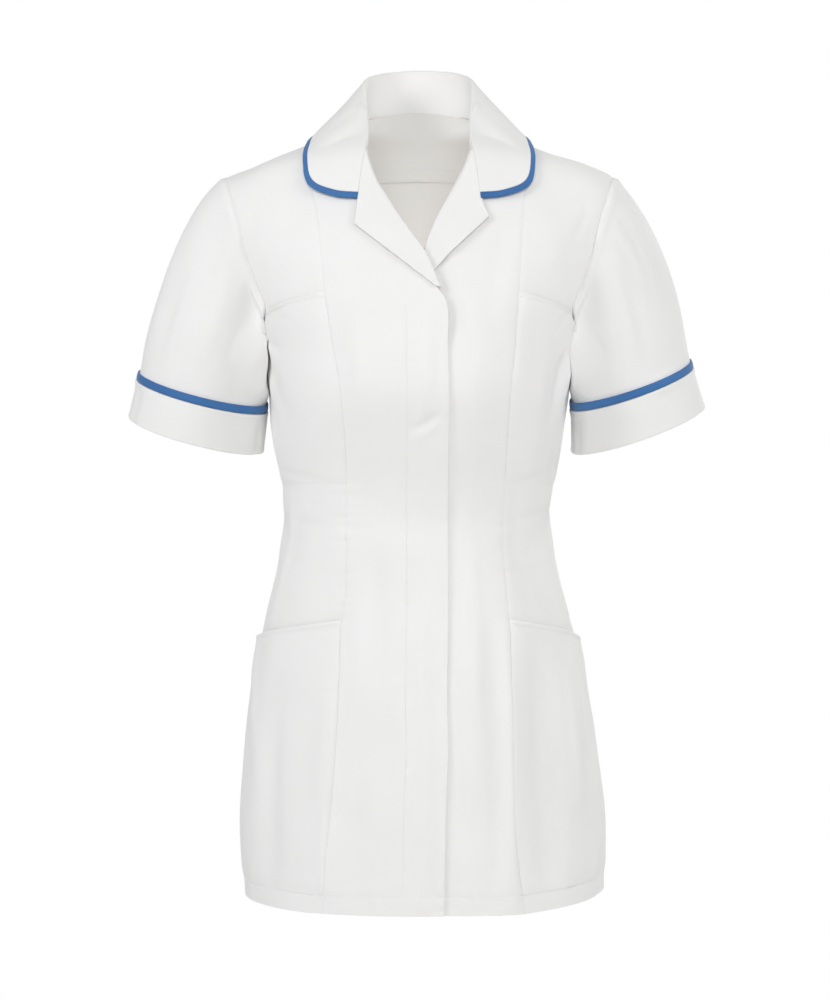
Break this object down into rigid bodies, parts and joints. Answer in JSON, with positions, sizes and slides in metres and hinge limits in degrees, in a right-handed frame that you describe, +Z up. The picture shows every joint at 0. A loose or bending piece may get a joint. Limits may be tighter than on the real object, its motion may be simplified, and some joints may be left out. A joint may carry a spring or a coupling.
{
  "type": "medical tunic",
  "caption": "Short-sleeved fitted healthcare tunic in white cloth with a rounded collar, revers, blue piping, turned cuffs and patch pockets, in its worn hollow form.",
  "frame": {"origin": "middle of the neck opening, level with the neck points of the shoulder seams, where the garment hangs on the wearer's shoulders", "axes": "+Z up, -Y towards the front of the garment, +X towards the wearer's left"},
  "size_m": [0.5572, 0.2719, 0.8041],
  "materials": {
    "white_cloth": "matte",
    "blue_piping": "matte"
  },
  "bodies": {
    "root": {"back": "white_cloth", "back_neck_facing": "white_cloth", "collar": "white_cloth", "collar_piping": "blue_piping", "front_centre_right": "white_cloth", "front_centre_left": "white_cloth", "front_side_right": "white_cloth", "front_side_left": "white_cloth", "revers_right": "white_cloth", "revers_left": "white_cloth", "sleeve_right": "white_cloth", "sleeve_left": "white_cloth", "cuff_right": "white_cloth", "cuff_left": "white_cloth", "cuff_piping_right": "blue_piping", "cuff_piping_left": "blue_piping", "breast_pocket_right": "white_cloth", "breast_pocket_left": "white_cloth", "hip_pocket_right": "white_cloth", "hip_pocket_left": "white_cloth"}
  },
  "joints": []
}
